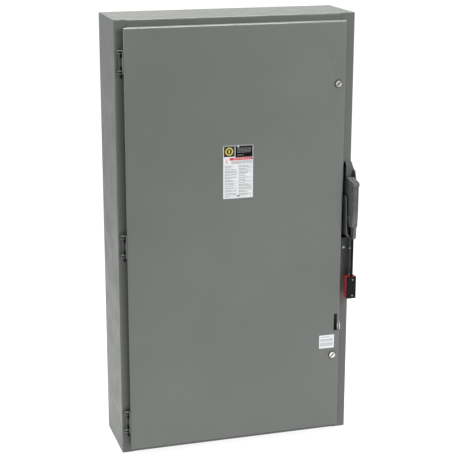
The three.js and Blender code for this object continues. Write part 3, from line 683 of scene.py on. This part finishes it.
def build_slot_floor(place, front):
    """A black sheet on the floor of a fastener's diagonal driver slot: painted shade in the slot."""
    mesh = bmesh.new()
    centre = FASTENER_PLACES[place]
    front_ring, rear_ring = [], []
    for end, side in ((-1, -1), (1, -1), (1, 1), (-1, 1)):
        along, across = end * SLOT_HALF_LENGTH, side * SLOT_HALF_WIDTH
        x = centre.x + (along - across) * math.sqrt(0.5)
        z = centre.z + (along + across) * math.sqrt(0.5)
        front_ring.append(mesh.verts.new((x, front + SLOT_DEPTH, z)))
        rear_ring.append(mesh.verts.new((x, front + SLOT_DEPTH + SLOT_FLOOR_THICKNESS, z)))
    mesh.faces.new(front_ring)
    mesh.faces.new(rear_ring[::-1])
    for i in range(4):
        j = (i + 1) % 4
        mesh.faces.new((front_ring[i], front_ring[j], rear_ring[j], rear_ring[i]))
    face_outwards(mesh)
    new_piece(f"{place}_fastener_slot", mesh, ["black_foam_and_shade"], f"{place}_fastener")


def build_fastener_washer(place, door_face):
    """The rubber washer round a fastener's head."""
    mesh = bmesh.new()
    profile = [(door_face, 9.8 * MM), (door_face - 0.9 * MM, 9.8 * MM), (door_face - 1.2 * MM, 10.6 * MM),
               (door_face - 0.9 * MM, 12.0 * MM), (door_face, 12.6 * MM)]
    add_lathe(mesh, profile, FASTENER_PLACES[place], "Y", 40, 0, False)
    face_outwards(mesh)
    smooth(new_piece(f"{place}_fastener_washer", mesh, ["rubber"], "door_assembly"))


def build_hasp_rivet(door_face):
    """The domed rivet that holds the padlock hasp."""
    mesh = bmesh.new()
    dome = [(0.0, 2.2 * MM), (-0.6 * MM, 2.1 * MM), (-1.1 * MM, 1.5 * MM), (-1.3 * MM, 0.6 * MM)]
    add_lathe(mesh, dome, (0.3127, door_face, -0.294), "Y", 20)
    face_outwards(mesh)
    smooth(new_piece("hasp_rivet", mesh, ["zinc_plate"], "door_assembly"))


def dress_door_hardware():
    dress_node("padlock_hasp", "dull_zinc", 0.4 * MM)
    dress_node("interlock_hook", "zinc_plate", 0.4 * MM)
    build_label("main_label", "main_label_print", main_label_rows())
    build_label("small_label", "small_label_print", small_label_rows())
    build_emblem()
    door_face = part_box("door")[0].y
    for place in FASTENER_PLACES:
        dress_node(f"{place}_door_fastener", "fastener_nickel", 0.9 * MM, 3)
        build_fastener_washer(place, door_face)
        build_slot_floor(place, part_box(f"{place}_door_fastener")[0].y)
    build_hasp_rivet(door_face)


# ------------------------------------------------------------------ handle

HEEL_LEFT, HEEL_RIGHT = 350.6 * MM, 353.3 * MM


def build_lever_heels():
    """The lever's rounded-off heels, where it meets the arm's foot and where it enters the grip."""
    mesh = bmesh.new()
    add_box(mesh, (HEEL_LEFT, -0.2172, -0.0340), (HEEL_RIGHT, -0.2100, -0.0110))
    add_box(mesh, (HEEL_LEFT, -0.2227, -0.1400), (HEEL_RIGHT, -0.2192, -0.1275))
    face_outwards(mesh)
    soften(new_piece("lever_heels", mesh, ["black_steel"], "handle"), 0.4 * MM)


def dress_handle():
    # The rounded edges of the casting pieces take the lighter enamel as painted highlights.
    dress_node("handle_base", "handle_casting", 0.9 * MM, 3, 30.0, "casting_edge_highlight")
    dress_node("handle_arm", "handle_casting", 1.4 * MM, 3, 30.0, "arm_edge_highlight")
    # The guard's darker enamel is painted shade.
    dress_node("handle_guard", "guard_painted_shade", 0.6 * MM, 3, 30.0, "casting_edge_highlight")
    dress_node("lever_bar", "black_steel", 0.5 * MM)
    dress_node("grip_back", "red_grip", 1.2 * MM, 3)
    dress_node("grip_front", "black_grip", 1.0 * MM, 3)
    dress_node("handle_pivot_pin", "handle_casting", 0.5 * MM)
    dress_node("guard_screw", "zinc_plate", 0.5 * MM)
    for node in ("grip_screw_upper", "grip_screw_lower"):
        dress_node(node, "worn_screw", 0.5 * MM)
    build_lever_heels()


# ------------------------------------------------------------------ switch inside

def dress_switch():
    dress_node("mounting_pan", "pan_zinc", 0.5 * MM)
    for node in ("line_base", "fuse_base", "crossbar"):
        dress_node(node, "black_moulding", 0.9 * MM)
    for node in ("left_bearing_plate", "mechanism_frame", "torsion_spring", "drive_crank"):
        dress_node(node, "pan_zinc", 0.4 * MM)
    dress_node("drive_link", "black_steel", 0.4 * MM)
    for pole in POLE_X:
        for node in ("line_terminal", "upper_fuse_clip", "load_terminal", "blade"):
            dress_node(f"{node}_{pole}", "copper_bar", 0.5 * MM)
        dress_node(f"fuse_{pole}", "fuse_tube", 0.8 * MM)
        dress_node(f"arc_chute_{pole}", "chute_fibre", 0.4 * MM)
    dress_node("ground_lug", "lug_aluminium", 0.6 * MM)
    dress_node("line_shield", "clear_shield", 0.4 * MM)


# Front faces of the mounting pan, the moulded bases, the bus straps and the lugs.
PAN_Y, BASE_Y, STRAP_Y, LUG_Y, GROUND_LUG_Y = -20 * MM, -38 * MM, -44 * MM, -88 * MM, -50 * MM
WIRE_SPREAD = 12 * MM


def build_mounting_bolts():
    """Bolts that hold the pan, the moulded bases and the bus straps."""
    steel = bmesh.new()
    for x in (-0.280, 0.280):
        for z in (-0.318, 0.488):
            add_bolt(steel, x, PAN_Y, z, 5.5 * MM)
    for x in (-0.280, -0.125, 0.025, 0.180):
        for z in (-0.295, 0.148, 0.255, 0.430):
            add_bolt(steel, x, BASE_Y, z, 4.0 * MM)
    for x in POLE_X.values():
        add_bolt(steel, x, STRAP_Y, 0.338, 5.0 * MM)
        add_bolt(steel, x, STRAP_Y, 0.102, 4.2 * MM)
    face_outwards(steel)
    new_piece("mounting_bolts", steel, ["zinc_plate"], "enclosure")


def build_lug_screws():
    """The screws that clamp the wires in the line, load and ground lugs."""
    wire_screws = bmesh.new()
    for x in POLE_X.values():
        for z in (0.400, -0.261):
            for side in (-WIRE_SPREAD, WIRE_SPREAD):
                add_set_screw(wire_screws, x + side, LUG_Y, z, 6.8 * MM)
    add_set_screw(wire_screws, 0.232, GROUND_LUG_Y, -0.280, 5.5 * MM)
    face_outwards(wire_screws)
    new_piece("lug_screws", wire_screws, ["lug_aluminium"], "enclosure")


FUSE_Y = -100 * MM
CAP_BORE, CAP_EDGE, CAP_RADIUS, CAP_CHAMFER = 8.0 * MM, 33.8 * MM, 34.6 * MM, 0.8 * MM
BAND_INNER, BAND_RADIUS = 34.08 * MM, 34.25 * MM
PRINT_INNER, PRINT_RADIUS, PRINT_WIDTH = 34.2 * MM, 34.3 * MM, 3 * MM


def sleeve(low, high, inner, outer):
    """A thin tube's outline between two heights."""
    return [(low, inner), (low, outer), (high, outer), (high, inner)]


def build_fuse_trim():
    """Metal end caps and a paper band with plain printed rings on each fuse."""
    for pole, x in POLE_X.items():
        mesh = bmesh.new()
        centre = (x, FUSE_Y, 0)
        for low, high in ((-0.1805, -0.1600), (0.0200, 0.0405)):
            cap = [(low, CAP_BORE), (low, CAP_EDGE), (low + CAP_CHAMFER, CAP_RADIUS),
                   (high - CAP_CHAMFER, CAP_RADIUS), (high, CAP_EDGE), (high, CAP_BORE)]
            add_lathe(mesh, cap, centre, "Z", 48, 0, False)
        add_lathe(mesh, sleeve(-0.115, -0.030, BAND_INNER, BAND_RADIUS), centre, "Z", 48, 1, False)
        for at in (-0.105, -0.092, -0.050, -0.042):
            add_lathe(mesh, sleeve(at, at + PRINT_WIDTH, PRINT_INNER, PRINT_RADIUS), centre, "Z", 48, 2,
                      False)
        face_outwards(mesh)
        soften(new_piece(f"fuse_{pole}_trim", mesh, ["brass_cap", "label_stock", "ink_charcoal"], "enclosure"), 0.2 * MM)


BARRIER_HALF, BARRIER_FRONT_Y, BARRIER_BACK_Y = 1.6 * MM, -150 * MM, -37.9 * MM


def build_barriers():
    """Moulded walls between the poles, on both bases."""
    mesh = bmesh.new()
    for x in (-0.125, 0.025):
        for bottom, top in ((-0.285, 0.138), (0.265, 0.420)):
            add_box(mesh, (x - BARRIER_HALF, BARRIER_FRONT_Y, bottom),
                    (x + BARRIER_HALF, BARRIER_BACK_Y, top))
    face_outwards(mesh)
    soften(new_piece("pole_barriers", mesh, ["black_moulding"], "enclosure"), 0.5 * MM)


DOOR_SHEET = 2 * MM
FOAM_BOX = (-0.312, 0.316, -0.612, 0.610)
FOAM_WIDTH, FOAM_DEPTH = 12 * MM, 7 * MM
# Heights between which the right strip runs, past the fasteners and the hasp.
FOAM_RIGHT_RUNS = ((-0.612, -0.400), (-0.378, -0.315), (-0.255, 0.428), (0.452, 0.610))
CHART_DEPTH, CHART_INK_DEPTH = 0.30 * MM, 0.36 * MM


def build_door_lining():
    """Foam strips round the inside of the door and a plain chart on it."""
    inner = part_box("door")[0].y + DOOR_SHEET
    mesh = bmesh.new()
    left, right, bottom, top = FOAM_BOX
    strips = [(left, left + FOAM_WIDTH, bottom, top)]
    strips += [(right - FOAM_WIDTH, right, low_z, high_z) for low_z, high_z in FOAM_RIGHT_RUNS]
    strips += [(left + FOAM_WIDTH, right - FOAM_WIDTH, low_z, low_z + FOAM_WIDTH)
               for low_z in (top - FOAM_WIDTH, bottom)]
    for low_x, high_x, low_z, high_z in strips:
        add_box(mesh, (low_x, inner, low_z), (high_x, inner + FOAM_DEPTH, high_z), 0)
    add_box(mesh, (-0.11, inner, -0.05), (0.09, inner + CHART_DEPTH, 0.24), 1)
    rng = random.Random(21)
    for row in range(18):
        z = 0.222 - row * 0.014
        at = -0.098
        while at < 0.065:
            end = min(0.078, at + rng.uniform(0.012, 0.04))
            add_box(mesh, (at, inner + 0.20 * MM, z - 3 * MM), (end, inner + CHART_INK_DEPTH, z), 2)
            at = end + 4 * MM
    face_outwards(mesh)
    new_piece("door_lining", mesh, ["black_foam_and_shade", "label_stock", "ink_grey"], "door_assembly")


def build_paint_chips():
    """A few tiny chips in the door's enamel beside the fasteners and below the middle."""
    rng = random.Random(5)
    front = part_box("door")[0].y
    mesh = bmesh.new()
    spots = [(284, 497), (265, 498), (268, 486), (277, 467), (279, 463), (248, -196), (256, -198),
             (270, -195), (288, -197), (269, -225)]
    for x, z in spots:
        width, height = rng.uniform(0.8, 2.2), rng.uniform(0.6, 1.4)
        add_box(mesh, (x * MM, front - 0.02 * MM, z * MM),
                ((x + width) * MM, front + 0.1 * MM, (z + height) * MM))
    face_outwards(mesh)
    new_piece("door_paint_chips", mesh, ["chip_primer"], "door_assembly")


make_camera()
make_studio()
dress_enclosure()
dress_door()
dress_hinges()
build_hinge_shade_blocks()
dress_door_hardware()
dress_handle()
dress_switch()
build_mounting_bolts()
build_lug_screws()
build_fuse_trim()
build_barriers()
build_door_lining()
build_paint_chips()

bpy.context.view_layer.update()
